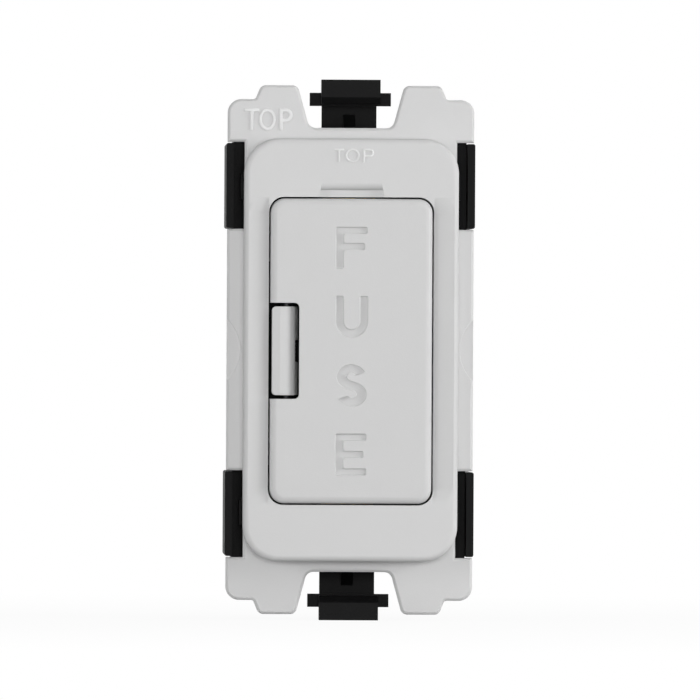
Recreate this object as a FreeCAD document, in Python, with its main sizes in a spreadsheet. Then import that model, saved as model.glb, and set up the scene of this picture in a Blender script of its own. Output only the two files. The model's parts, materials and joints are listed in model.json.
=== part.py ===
"""Fused spur unit: a grid fuse module with a pull-out fuse carrier.

Millimetres. +X is to the right, +Z is up and the front faces -Y. The origin is the centre
of the yoke plate's rear face, which rests on the mounting frame.
"""

import FreeCAD, Part
import Sketcher
import os
from types import SimpleNamespace

document = FreeCAD.newDocument("fused_spur_unit")
sheet = document.addObject("Spreadsheet::Sheet", "Sizes")


class Size:
    """A length, together with the expression over the sheet that gives it."""

    def __init__(self, number, text):
        self.number = float(number)
        self.text = text

    def __add__(self, other):
        other = as_size(other)
        return Size(self.number + other.number, f"({self.text} + {other.text})")

    def __sub__(self, other):
        other = as_size(other)
        return Size(self.number - other.number, f"({self.text} - {other.text})")

    def __mul__(self, factor):
        return Size(self.number * factor, f"({self.text} * {factor})")

    def __truediv__(self, divisor):
        return Size(self.number / divisor, f"({self.text} / {divisor})")

    def __neg__(self):
        return Size(-self.number, f"(-1 * {self.text})")


def as_size(value):
    return value if isinstance(value, Size) else Size(value, str(value))


core_columns = 4
core_rows = 3
spring_turns = 4
# Shares of a screw's or rivet's head: where its crown starts, how wide it is, and a slot's overrun
crown_start = 0.6
crown_width = 0.7
slot_overrun = 1.1

SIZES = {
    # Yoke plate
    "plate_width": 25.5,
    "plate_thickness": 1.6,
    "plate_edge": 0.25,
    "prong_rise": 1.45,
    "shoulder_rise": 2.94,
    "shoulder_radius": 1.4,
    "prong_inset": 2.85,
    "prong_slant": 0.6,
    "prong_radius": 0.7,
    "end_notch_rise": 1.06,
    "end_notch_floor": 8.66,
    "end_notch_mouth": 11.06,
    "end_notch_radius": 0.9,
    "side_notch_room": 1.11,
    "side_notch_inset": 0.42,
    "side_notch_length": 9.0,
    "dimple_radius": 4.35,
    "dimple_overhang": 2.95,
    "dimple_depth": 0.25,
    "skirt_wall": 0.9,
    "skirt_depth": 3.0,
    "fit_gap": 0.1,
    # Bezel
    "bezel_inset": 1.7,
    "bezel_side_rim": 2.55,
    "bezel_end_rim": 5.92,
    "bezel_rise": 5.0,
    "bezel_corner": 3.6,
    "bezel_edge": 0.65,
    "bezel_wall": 1.2,
    "bezel_face_wall": 1.6,
    "opening_corner": 1.55,
    "opening_drop": 0.12,
    "rim_fall": 0.72,
    "rim_fall_middle": 0.3,
    "rim_fall_start": 0.06,
    "rim_fall_width": 2.1,
    "rim_fall_fade": 1.8,
    "thumb_width_top": 6.44,
    "thumb_width_bottom": 6.68,
    "thumb_height": 0.72,
    "thumb_lip": 0.8,
    "thumb_step": 0.06,
    "hook_start": 5.2,
    "hook_width": 2.8,
    "hook_inset": 1.3,
    "hook_thickness": 1.2,
    "hook_length": 7.6,
    "hook_catch": 0.6,
    "hook_lead": 0.2,
    "hook_head": 1.6,
    # Rear housing
    "body_inset": 0.65,
    "body_end_step": 0.1,
    "neck_side_step": 2.25,
    "neck_end_step": 1.7,
    "body_rear": 21.6,
    "body_corner": 0.5,
    "body_wall": 1.6,
    "floor_depth": 4.0,
    "floor_thickness": 1.6,
    "finger_gap": 0.12,
    "finger_thickness": 0.77,
    "finger_rear": 14.0,
    "finger_corner": 0.22,
    "keeper_inset": 3.33,
    "keeper_length": 2.6,
    "keeper_thickness": 0.3,
    "keeper_sunk": 0.2,
    "core_height": 14.4,
    "core_rib": 1.2,
    # Latches that hold the module in the frame
    "latch_width": 6.1,
    "latch_root_width": 5.7,
    "latch_rise": 3.54,
    "latch_height": 2.53,
    "latch_front": 0.9,
    "latch_root_rear": 9.4,
    "latch_root_thickness": 1.4,
    "latch_bar_thickness": 1.5,
    "latch_head_length": 3.0,
    "latch_slope": 0.7,
    "lug_width": 8.4,
    "lug_rise": 3.4,
    "lug_height": 1.35,
    "lug_length": 1.6,
    "frame_thickness": 2.2,
    "gusset_width": 1.24,
    "gusset_length": 3.6,
    "gusset_height": 2.6,
    # Fuse carrier
    "door_side_gap": 0.165,
    "door_end_gap": 0.16,
    "door_proud": 0.5,
    "door_thickness": 1.6,
    "door_corner": 1.45,
    "door_edge": 0.8,
    "carrier_wall": 1.1,
    "carrier_depth": 6.2,
    "catch_notch_height": 9.92,
    "catch_notch_width": 2.985,
    "catch_notch_corner": 0.5,
    "leg_thickness": 1.2,
    "leg_start": 9.2,
    "leg_height": 2.8,
    "leg_gap": 0.3,
    "leg_rear": 13.0,
    "nose_length": 1.4,
    "nose_land": 0.47,
    "nose_reach": 0.75,
    "travel": 10.0,
    "stop_gap": 0.1,
    "cradle_width": 8.4,
    "cradle_length": 9.0,
    "cradle_wrap": 1.6,
    "web_thickness": 1.2,
    # Cartridge fuse
    "fuse_length": 25.4,
    "fuse_end_room": 1.92,
    "fuse_diameter": 6.35,
    "fuse_centre": 0.9,
    "cap_length": 5.6,
    "cap_wall": 0.35,
    "cap_edge": 0.4,
    "barrel_bore": 3.4,
    "element_diameter": 0.5,
    # Contact clips and their rivets
    "clip_thickness": 0.5,
    "clip_bend": 0.6,
    "clip_width": 4.4,
    "clip_gap": 0.12,
    "clip_back_gap": 0.6,
    "clip_grip": 1.7,
    "clip_flare": 0.7,
    "clip_flare_length": 1.0,
    "strap_width": 5.0,
    "strap_gap": 0.3,
    "rivet_diameter": 1.6,
    "rivet_head_diameter": 3.0,
    "rivet_head_height": 0.7,
    "rivet_length": 1.4,
    # Terminals
    "terminal_front": 11.6,
    "terminal_depth": 7.3,
    "terminal_width": 7.8,
    "terminal_height": 8.8,
    "terminal_edge": 0.4,
    "conductor_bore": 4.2,
    "conductor_wall": 1.7,
    "entry_bore": 4.9,
    "entry_funnel": 0.5,
    "screw_diameter": 3.5,
    "screw_running_gap": 0.05,
    "screw_head_diameter": 5.8,
    "screw_head_height": 1.6,
    "screw_travel": 2.6,
    "screw_tip_gap": 0.05,
    "screw_tip": 0.35,
    "slot_width": 0.9,
    "slot_depth": 0.9,
    # Rear cover and its screws
    "cover_thickness": 1.6,
    "cover_lip": 1.0,
    "cover_edge": 0.4,
    "driver_hole": 6.6,
    "driver_collar": 1.0,
    "cover_screw_inset": 2.8,
    "cover_screw_diameter": 2.0,
    "cover_screw_length": 6.0,
    "cover_screw_head": 3.6,
    "cover_screw_head_height": 1.1,
    "cover_screw_tip": 0.33,
    "cover_slot_width": 0.6,
    "cover_slot_depth": 0.45,
    # Release catch, its pin and its spring
    "catch_side_gap": 0.33,
    "catch_end_gap": 0.38,
    "catch_width": 2.42,
    "catch_slant": 0.81,
    "catch_roll": 1.6,
    "catch_sunk": 0.12,
    "catch_corner": 0.45,
    "catch_stem": 1.1,
    "catch_head_depth": 2.9,
    "pin_inset": 1.75,
    "pin_depth": 6.5,
    "pin_diameter": 1.2,
    "pin_running_gap": 0.05,
    "knuckle_wall": 0.55,
    "spring_wire": 0.3,
    "spring_clearance": 0.12,
    "spring_pitch": 0.42,
}


def put_in_sheet(sizes):
    """Give each driving dimension a cell of its own and return them all as Sizes."""
    for row, (alias, number) in enumerate(sizes.items(), start=1):
        sheet.set(f"A{row}", alias)
        sheet.set(f"B{row}", str(number))
        sheet.setAlias(f"B{row}", alias)
    document.recompute()
    return {alias: Size(number, f"Sizes.{alias}") for alias, number in sizes.items()}


size = SimpleNamespace(**put_in_sheet(SIZES))

# Places that several pieces share, with Y growing to the rear
plate_front = -size.plate_thickness
bezel_front = plate_front - size.bezel_rise
door_front = bezel_front - size.door_proud
door_back = door_front + size.door_thickness
carrier_rear = door_front + size.carrier_depth
plate_half_width = size.plate_width / 2
bezel_half_width = plate_half_width - size.bezel_inset
opening_half_width = bezel_half_width - size.bezel_side_rim
fuse_half_length = size.fuse_length / 2
opening_half_height = fuse_half_length + size.fuse_end_room + size.carrier_wall + size.door_end_gap
opening_top = opening_half_height - size.opening_drop
opening_bottom = -opening_half_height - size.opening_drop
bezel_half_height = opening_half_height + size.bezel_end_rim
body_half_width = plate_half_width - size.body_inset
body_half_height = bezel_half_height + size.body_end_step
neck_half_width = body_half_width - size.neck_side_step
neck_half_height = body_half_height - size.neck_end_step
door_half_width = opening_half_width - size.door_side_gap
door_top = opening_top - size.door_end_gap
door_bottom = opening_bottom + size.door_end_gap
neck_front = plate_front + size.fit_gap
aperture_half_width = neck_half_width + size.fit_gap
aperture_half_height = neck_half_height + size.fit_gap
end_notch_floor = body_half_height + size.end_notch_rise
shoulder_top = end_notch_floor + size.shoulder_rise
prong_top = shoulder_top + size.prong_rise
side_notch_wall = body_half_width - size.side_notch_room
side_notch_end = body_half_height - size.side_notch_inset
side_notch_start = side_notch_end - size.side_notch_length
latch_low = body_half_height + size.latch_rise
latch_high = latch_low + size.latch_height
fuse_y = -size.fuse_centre
fuse_radius = size.fuse_diameter / 2
clip_inner = fuse_radius + size.clip_gap
clip_back = fuse_y + fuse_radius + size.clip_back_gap
clip_height = fuse_half_length - size.cap_length / 2
terminal_rear = size.terminal_front + size.terminal_depth
terminal_end = body_half_height - size.body_wall - size.fit_gap
terminal_start = terminal_end - size.terminal_height
terminal_middle = terminal_start + size.terminal_height / 2
conductor_y = size.terminal_front + size.conductor_wall + size.conductor_bore / 2
strap_height = clip_height + size.clip_width / 2
hook_low = body_half_height - size.body_wall - size.hook_inset - size.hook_thickness - size.hook_catch
hook_high = hook_low + size.hook_thickness
leg_outer = opening_half_width - size.leg_gap
leg_inner = leg_outer - size.leg_thickness
leg_high = size.leg_start + size.leg_height
stop_front = size.leg_rear - size.nose_length - size.travel - size.stop_gap
well_rear = size.leg_rear + size.leg_gap * 2
island_half_width = leg_inner - size.leg_gap * 2
cover_rear = size.body_rear + size.cover_thickness
pin_x = -door_half_width + size.pin_inset
pin_y = door_front + size.pin_depth
notch_edge = door_half_width - size.catch_notch_width
cover_screw_reach = body_half_width - size.cover_screw_inset
notch_middle = -size.opening_drop
notch_top = size.catch_notch_height / 2 - size.opening_drop
notch_bottom = -size.catch_notch_height / 2 - size.opening_drop

# Each drawing plane: the origin plane's role and which way its normal points along its axis
PLANES = {
    "front": ("XZ_Plane", -1),
    "side": ("YZ_Plane", 1),
    "top": ("XY_Plane", 1),
}
AXES_OF_TURNING = {"y": "Y_Axis", "z": "Z_Axis"}


def origin_feature(body, role):
    return [feature for feature in body.Origin.OriginFeatures if feature.Role == role][0]


def new_body(label):
    body = document.addObject("PartDesign::Body", label)
    body.Label = label
    return body


def bind(owner, prop, value):
    value = as_size(value)
    owner.setExpression(prop, value.text)


def hold(drawing, kind, geometry, point, value):
    """Fix one coordinate of a drawn point to a size."""
    value = as_size(value)
    index = drawing.addConstraint(
        Sketcher.Constraint(kind, -1, 1, geometry, point, value.number)
    )
    if value.text != "0":
        drawing.setExpression(f"Constraints[{index}]", value.text)


def draw_polygon(drawing, corners):
    first = drawing.GeometryCount
    count = len(corners)
    points = [
        FreeCAD.Vector(as_size(across).number, as_size(up).number, 0)
        for across, up in corners
    ]
    for index in range(count):
        edge = Part.LineSegment(points[index], points[(index + 1) % count])
        drawing.addGeometry(edge, False)
    for index in range(count):
        following = first + (index + 1) % count
        drawing.addConstraint(
            Sketcher.Constraint("Coincident", first + index, 2, following, 1)
        )
    for index, (across, up) in enumerate(corners):
        hold(drawing, "DistanceX", first + index, 1, across)
        hold(drawing, "DistanceY", first + index, 1, up)


def draw_circle(drawing, across, up, radius):
    centre = FreeCAD.Vector(as_size(across).number, as_size(up).number, 0)
    normal = FreeCAD.Vector(0, 0, 1)
    geometry = drawing.addGeometry(Part.Circle(centre, normal, radius.number), False)
    hold(drawing, "DistanceX", geometry, 3, across)
    hold(drawing, "DistanceY", geometry, 3, up)
    index = drawing.addConstraint(Sketcher.Constraint("Radius", geometry, radius.number))
    drawing.setExpression(f"Constraints[{index}]", radius.text)


def draw(body, plane, at, loops):
    """Draw closed loops, each a list of corners or a circle, on a plane moved to a place."""
    role, direction = PLANES[plane]
    drawing = body.newObject("Sketcher::SketchObject", f"{body.Label}_drawing")
    drawing.AttachmentSupport = (origin_feature(body, role), [""])
    drawing.MapMode = "FlatFace"
    bind(drawing, "AttachmentOffset.Base.z", as_size(at) * direction)
    for loop in loops:
        if isinstance(loop, tuple):
            draw_circle(drawing, *loop)
        else:
            draw_polygon(drawing, loop)
    return drawing


def solid_volume(body):
    document.recompute()
    return body.Shape.Volume


def grow(body, plane, low, high, loops):
    """Add the loops' prism, from low to high along the plane's axis."""
    direction = PLANES[plane][1]
    start = high if direction < 0 else low
    pad = body.newObject("PartDesign::Pad", f"{body.Label}_pad")
    pad.Profile = draw(body, plane, start, loops)
    bind(pad, "Length", as_size(high) - low)
    document.recompute()
    return pad


def cut(body, plane, low, high, loops):
    """Cut the loops' prism away, from low to high along the plane's axis."""
    before = solid_volume(body)
    direction = PLANES[plane][1]
    start = low if direction < 0 else high
    pocket = body.newObject("PartDesign::Pocket", f"{body.Label}_pocket")
    pocket.Profile = draw(body, plane, start, loops)
    bind(pocket, "Length", as_size(high) - low)
    if not solid_volume(body) < before:
        raise RuntimeError(f"{pocket.Name} in {body.Label} cuts nothing")
    return pocket


def turn(body, axis, corners):
    """Turn a profile, drawn on the side plane, all the way round an axis."""
    revolution = body.newObject("PartDesign::Revolution", f"{body.Label}_turned")
    revolution.Profile = draw(body, "side", 0, [corners])
    revolution.ReferenceAxis = (origin_feature(body, AXES_OF_TURNING[axis]), [""])
    revolution.Angle = 360
    document.recompute()
    return revolution


def mirror(body, features, role):
    """Repeat features on the other side of an origin plane."""
    mirrored = body.newObject("PartDesign::Mirrored", f"{body.Label}_mirrored")
    mirrored.Originals = features
    mirrored.MirrorPlane = (origin_feature(body, role), [""])
    body.Tip = mirrored
    document.recompute()
    return mirrored


def soften(body, radius, wanted, kind="Fillet"):
    """Round or bevel the edges of the latest shape for which wanted(edge) holds."""
    base = body.Tip
    names = [
        f"Edge{index + 1}" for index, edge in enumerate(base.Shape.Edges) if wanted(edge)
    ]
    if not names:
        raise RuntimeError(f"no edge of {body.Label} to soften")
    softened = body.newObject(f"PartDesign::{kind}", f"{body.Label}_{kind.lower()}")
    softened.Base = (base, names)
    bind(softened, "Radius" if kind == "Fillet" else "Size", radius)
    document.recompute()
    return softened


def near(first, second):
    return abs(first - as_size(second).number) < 0.02


def runs_along(edge, axis):
    """Whether a straight edge lies along X (0), Y (1) or Z (2)."""
    if not isinstance(edge.Curve, Part.Line):
        return False
    return abs(abs(edge.Curve.Direction[axis]) - 1) < 1e-6


def corner_edges(axis, places):
    """Pick straight edges along an axis that pass one of the places, given by size alone."""
    others = [index for index in range(3) if index != axis]

    def wanted(edge):
        if not runs_along(edge, axis):
            return False
        middle = edge.CenterOfMass
        return any(
            near(abs(middle[others[0]]), place[0]) and near(abs(middle[others[1]]), place[1])
            for place in places
        )

    return wanted


def flat_edges(axis, at, inside=None):
    """Pick edges that lie in one plane across an axis, within limits given by size alone."""

    def wanted(edge):
        box = edge.BoundBox
        lows = (box.XMin, box.YMin, box.ZMin)
        highs = (box.XMax, box.YMax, box.ZMax)
        if not (near(lows[axis], at) and near(highs[axis], at)):
            return False
        return inside is None or inside(edge.CenterOfMass)

    return wanted


def rectangle(left, bottom, right, top):
    return [(left, bottom), (right, bottom), (right, top), (left, top)]


def centred(half_across, half_up, lift=0):
    half_across = as_size(half_across)
    half_up = as_size(half_up)
    return rectangle(
        -half_across, as_size(lift) - half_up, half_across, as_size(lift) + half_up
    )


def four_ways(quarter):
    """Complete an outline from its top right quarter, listed from the top to the side."""
    top_left = [(-across, up) for across, up in reversed(quarter)]
    bottom_right = [(across, -up) for across, up in reversed(quarter)]
    bottom_left = [(-across, -up) for across, up in quarter]
    return quarter + bottom_right + bottom_left + top_left


def make_yoke_plate():
    """The white plate: two notched prongs at each end, side notches and a rear skirt."""
    body = new_body("yoke_plate")
    prong_side = plate_half_width - size.prong_inset
    prong_tip = (prong_side - size.prong_slant, prong_top)
    prong_base = (prong_side, shoulder_top)
    shoulder = (plate_half_width, shoulder_top)
    notch_mouth = (size.end_notch_mouth / 2, prong_top)
    notch_floor = (size.end_notch_floor / 2, end_notch_floor)
    outline = four_ways(
        [
            notch_floor,
            notch_mouth,
            prong_tip,
            prong_base,
            shoulder,
            (plate_half_width, side_notch_end),
            (side_notch_wall, side_notch_end),
            (side_notch_wall, side_notch_start),
            (plate_half_width, side_notch_start),
        ]
    )
    grow(body, "front", plate_front, 0, [outline])
    soften(body, size.shoulder_radius, corner_edges(1, [shoulder]))
    soften(body, size.prong_radius, corner_edges(1, [prong_tip, notch_mouth]))
    soften(body, size.prong_radius / 2, corner_edges(1, [prong_base]))
    soften(body, size.end_notch_radius, corner_edges(1, [notch_floor]))
    soften(body, size.plate_edge, flat_edges(1, plate_front), "Chamfer")
    skirt = centred(aperture_half_width + size.skirt_wall, aperture_half_height + size.skirt_wall)
    grow(body, "front", 0, size.skirt_depth, [skirt])
    aperture = centred(aperture_half_width, aperture_half_height)
    cut(body, "front", plate_front, size.skirt_depth, [aperture])
    dimple_x = plate_half_width + size.dimple_overhang
    dimples = [(dimple_x, 0, size.dimple_radius), (-dimple_x, 0, size.dimple_radius)]
    cut(body, "front", plate_front, plate_front + size.dimple_depth, dimples)
    return body


def add_rim_falls(body):
    """Let the side rims curve down towards the carrier, fading out at both ends."""
    rows = [
        (opening_half_width + size.rim_fall_width, size.rim_fall_start),
        (opening_half_width + size.rim_fall_width / 2, size.rim_fall_middle),
        (opening_half_width, size.rim_fall),
    ]
    sections = []
    for across, depth in rows:
        low_edge = bezel_front + depth
        section = [
            (bezel_front - size.rim_fall, opening_bottom),
            (bezel_front, opening_bottom),
            (low_edge, opening_bottom + size.rim_fall_fade),
            (low_edge, opening_top - size.rim_fall_fade),
            (bezel_front, opening_top),
            (bezel_front - size.rim_fall, opening_top),
        ]
        sections.append(draw(body, "side", across, [section]))
    before = solid_volume(body)
    fall = body.newObject("PartDesign::SubtractiveLoft", "bezel_rim_fall")
    fall.Profile = sections[0]
    fall.Sections = sections[1:]
    if not solid_volume(body) < before:
        raise RuntimeError("the rim falls cut nothing")
    mirror(body, [fall], "YZ_Plane")


def make_bezel():
    """The white surround of the carrier, hollow behind, with four snap hooks."""
    body = new_body("bezel")
    half_width = bezel_half_width
    half_height = bezel_half_height
    grow(body, "front", bezel_front, plate_front, [centred(half_width, half_height)])
    soften(body, size.bezel_corner, corner_edges(1, [(half_width, half_height)]))
    soften(body, size.bezel_edge, flat_edges(1, bezel_front))
    opening = rectangle(
        -opening_half_width, opening_bottom, opening_half_width, opening_top
    )
    cut(body, "front", bezel_front, plate_front, [opening])
    opening_edges = [
        (opening_half_width, opening_top),
        (opening_half_width, -opening_bottom),
    ]
    soften(body, size.opening_corner, corner_edges(1, opening_edges))
    thumb_top = opening_top + size.thumb_height
    thumb = [
        (-size.thumb_width_bottom / 2, opening_top - size.opening_corner),
        (size.thumb_width_bottom / 2, opening_top - size.opening_corner),
        (size.thumb_width_bottom / 2, opening_top),
        (size.thumb_width_top / 2, thumb_top),
        (-size.thumb_width_top / 2, thumb_top),
        (-size.thumb_width_bottom / 2, opening_top),
    ]
    thumb_floor = bezel_front + size.thumb_lip + size.thumb_step
    cut(body, "front", bezel_front, thumb_floor, [thumb])
    upper_lip = flat_edges(2, thumb_top, lambda at: near(at.y, bezel_front))
    soften(body, size.thumb_lip, upper_lip)
    add_rim_falls(body)
    face_back = bezel_front + size.bezel_face_wall
    upper_hollow = rectangle(
        -half_width + size.bezel_corner,
        opening_top + size.bezel_wall,
        half_width - size.bezel_corner,
        half_height - size.bezel_wall,
    )
    lower_hollow = rectangle(
        -half_width + size.bezel_corner,
        -half_height + size.bezel_wall,
        half_width - size.bezel_corner,
        opening_bottom - size.bezel_wall,
    )
    cut(body, "front", face_back, plate_front, [upper_hollow, lower_hollow])
    hook_rear = face_back + size.hook_length
    hook = [
        (face_back, hook_low),
        (hook_rear, hook_low),
        (hook_rear, hook_high + size.hook_lead),
        (hook_rear - size.hook_head, hook_high + size.hook_catch),
        (hook_rear - size.hook_head, hook_high),
        (face_back, hook_high),
    ]
    corner_hook = grow(body, "side", size.hook_start, size.hook_start + size.hook_width, [hook])
    mirror(body, [corner_hook], "YZ_Plane")
    lower_hook = [(along, -up) for along, up in hook]
    grow(body, "side", size.hook_start, size.hook_start + size.hook_width, [lower_hook])
    mirror(body, [body.Tip], "YZ_Plane")
    return body


def latch_outlines():
    """The upper latch's pieces, drawn on the side plane or, for the lugs, the front plane."""
    root_front = size.latch_root_rear - size.latch_root_thickness
    bar_low = latch_low + size.latch_height / 2 - size.latch_bar_thickness / 2
    bar_high = bar_low + size.latch_bar_thickness
    head_front = -size.latch_front
    head_rear = head_front + size.latch_head_length
    root_foot = body_half_height - size.body_wall / 2
    arm = [
        (root_front, root_foot),
        (size.latch_root_rear, root_foot),
        (size.latch_root_rear, bar_high - size.latch_bar_thickness / 2),
        (size.latch_root_rear - size.latch_bar_thickness / 2, bar_high),
        (head_front + size.latch_slope, bar_high),
        (head_front + size.latch_slope, bar_low),
        (root_front, bar_low),
    ]
    head = [
        (head_front + size.latch_slope, latch_low),
        (head_rear, latch_low),
        (head_rear, latch_high),
        (head_front, latch_high),
        (head_front, latch_low + size.latch_slope),
    ]
    gusset = [
        (root_front - size.gusset_length, root_foot),
        (root_front + size.latch_root_thickness / 2, root_foot),
        (root_front + size.latch_root_thickness / 2, body_half_height + size.gusset_height),
        (root_front, body_half_height + size.gusset_height),
        (root_front - size.gusset_length, body_half_height),
    ]
    return arm, head, gusset


def add_latches(body):
    """The sprung arms that reach forward over the frame, with lugs that lock behind it."""
    arm, head, gusset = latch_outlines()
    pieces = [
        (size.latch_root_width / 2, arm),
        (size.latch_width / 2, head),
        (size.gusset_width / 2, gusset),
    ]
    lug_middle = body_half_height + size.lug_rise + size.lug_height / 2
    lug = centred(size.lug_width / 2, size.lug_height / 2, lug_middle)
    for sign in (1, -1):
        for half_width, outline in pieces:
            turned = [(along, up * sign) for along, up in outline]
            grow(body, "side", -half_width, half_width, [turned])
        turned_lug = [(across, up * sign) for across, up in lug]
        grow(body, "front", size.frame_thickness, size.frame_thickness + size.lug_length, [turned_lug])


def add_fingers(body):
    """Four side fingers, which stand forward through the plate's side notches."""
    inner = body_half_width - size.finger_thickness / 2
    outer = body_half_width + size.finger_thickness
    finger_low = side_notch_start + size.finger_gap
    finger_high = side_notch_end - size.finger_gap
    rows = [(finger_low, finger_high), (-finger_high, -finger_low)]
    for low, high in rows:
        free = [
            (body_half_width, plate_front),
            (outer, plate_front),
            (outer, size.finger_rear),
            (outer - size.finger_thickness, size.finger_rear + size.finger_thickness * 2),
            (inner, size.finger_rear + size.finger_thickness * 2),
            (inner, size.skirt_depth),
            (body_half_width, size.skirt_depth),
        ]
        right = grow(body, "top", low, high, [free])
        mirror(body, [right], "YZ_Plane")
    ends = [(outer, finger_low), (outer, finger_high)]
    soften(body, size.finger_corner, corner_edges(1, ends))


def add_keepers(body):
    """Four thin ribs that stand in the plate's side notches and centre it."""
    low = side_notch_wall + size.fit_gap
    high = low + size.keeper_thickness
    keeper_high = side_notch_end - size.keeper_inset
    keeper_low = keeper_high - size.keeper_length
    ribs = [
        rectangle(low, keeper_low, high, keeper_high),
        rectangle(-high, keeper_low, -low, keeper_high),
        rectangle(low, -keeper_high, high, -keeper_low),
        rectangle(-high, -keeper_high, -low, -keeper_low),
    ]
    grow(body, "front", plate_front + size.keeper_sunk, size.skirt_depth, ribs)


def make_rear_housing():
    """The black moulded body: neck, guides, clip floor, terminal pockets and latches."""
    body = new_body("rear_housing")
    grow(
        body, "front", size.skirt_depth, size.body_rear, [centred(body_half_width, body_half_height)]
    )
    soften(body, size.body_corner, corner_edges(1, [(body_half_width, body_half_height)]))
    neck = centred(neck_half_width, neck_half_height)
    grow(body, "front", neck_front, size.skirt_depth, [neck])
    add_latches(body)
    add_fingers(body)
    add_keepers(body)
    chamber = rectangle(
        -opening_half_width, opening_bottom, opening_half_width, opening_top
    )
    cut(body, "front", neck_front, size.floor_depth, [chamber])
    well_low = size.leg_start - size.leg_gap
    well_high = leg_high + size.leg_gap
    wells = [
        rectangle(island_half_width, well_low, opening_half_width, well_high),
        rectangle(island_half_width, -well_high, opening_half_width, -well_low),
        rectangle(-opening_half_width, well_low, -island_half_width, well_high),
        rectangle(-opening_half_width, -well_high, -island_half_width, -well_low),
    ]
    cut(body, "front", size.floor_depth, well_rear, wells)
    groove_reach = opening_half_width + size.nose_reach
    overlap = opening_half_width - size.leg_gap
    grooves = [
        rectangle(overlap, well_low, groove_reach, well_high),
        rectangle(overlap, -well_high, groove_reach, -well_low),
        rectangle(-groove_reach, well_low, -overlap, well_high),
        rectangle(-groove_reach, -well_high, -overlap, -well_low),
    ]
    cut(body, "front", stop_front, well_rear, grooves)
    strap_low = strap_height - size.strap_gap
    strap_high = terminal_middle + size.rivet_head_diameter / 2 + size.strap_gap
    channel_half = size.strap_width / 2 + size.strap_gap
    channels = [
        rectangle(-channel_half, strap_low, channel_half, strap_high),
        rectangle(-channel_half, -strap_high, channel_half, -strap_low),
    ]
    cut(body, "front", size.floor_depth, size.terminal_front, channels)
    pocket_half = size.terminal_width / 2 + size.fit_gap
    pocket_low = terminal_start - size.fit_gap
    pocket_high = terminal_end + size.fit_gap
    pockets = [
        rectangle(-pocket_half, pocket_low, pocket_half, pocket_high),
        rectangle(-pocket_half, -pocket_high, pocket_half, -pocket_low),
    ]
    cut(body, "front", size.terminal_front, size.body_rear, pockets)
    core_half_width = body_half_width - size.body_wall
    cell_width = (core_half_width * 2 + size.core_rib) / core_columns - size.core_rib
    cell_height = (size.core_height + size.core_rib) / core_rows - size.core_rib
    cells = []
    for column in range(core_columns):
        left = -core_half_width + (cell_width + size.core_rib) * column
        for row in range(core_rows):
            low = -size.core_height / 2 + (cell_height + size.core_rib) * row
            cells.append(rectangle(left, low, left + cell_width, low + cell_height))
    rib_rear = size.body_rear - size.cover_lip - size.fit_gap
    cut(body, "front", size.floor_depth + size.floor_thickness, rib_rear, cells)
    core = centred(core_half_width, size.core_height / 2)
    cut(body, "front", rib_rear, size.body_rear, [core])
    boss_radius = size.cover_screw_head / 2
    boss_reach = cover_screw_reach
    bosses = [(boss_reach, 0, boss_radius), (-boss_reach, 0, boss_radius)]
    grow(body, "front", size.floor_depth + size.floor_thickness / 2, size.body_rear, bosses)
    pilot = size.cover_screw_diameter / 2
    pilots = [(boss_reach, 0, pilot), (-boss_reach, 0, pilot)]
    cut(body, "front", size.body_rear - size.cover_screw_length, size.body_rear, pilots)
    entry = [(0, conductor_y, size.entry_bore / 2)]
    entry_inside = terminal_end
    cut(body, "top", entry_inside, body_half_height, entry)
    cut(body, "top", -body_half_height, -entry_inside, entry)
    mouths = flat_edges(
        2, body_half_height, lambda at: near(at.y, conductor_y) and near(at.x, 0)
    )
    soften(body, size.entry_funnel, mouths, "Chamfer")
    lower_mouths = flat_edges(
        2, -body_half_height, lambda at: near(at.y, conductor_y) and near(at.x, 0)
    )
    soften(body, size.entry_funnel, lower_mouths, "Chamfer")
    window_start = size.hook_start - size.strap_gap
    window_end = size.hook_start + size.hook_width + size.strap_gap
    hook_rear = bezel_front + size.bezel_face_wall + size.hook_length
    window = [
        (neck_front, hook_low - size.strap_gap),
        (hook_rear + size.strap_gap, hook_low - size.strap_gap),
        (hook_rear + size.strap_gap, hook_high + size.hook_catch + size.fit_gap),
        (hook_rear - size.hook_head - size.fit_gap, hook_high + size.hook_catch + size.fit_gap),
        (hook_rear - size.hook_head - size.fit_gap, hook_high + size.fit_gap),
        (neck_front, hook_high + size.fit_gap),
    ]
    for sign in (1, -1):
        outline = [(along, up * sign) for along, up in window]
        cut(body, "side", window_start, window_end, [outline])
        cut(body, "side", -window_end, -window_start, [outline])
    return body


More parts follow.
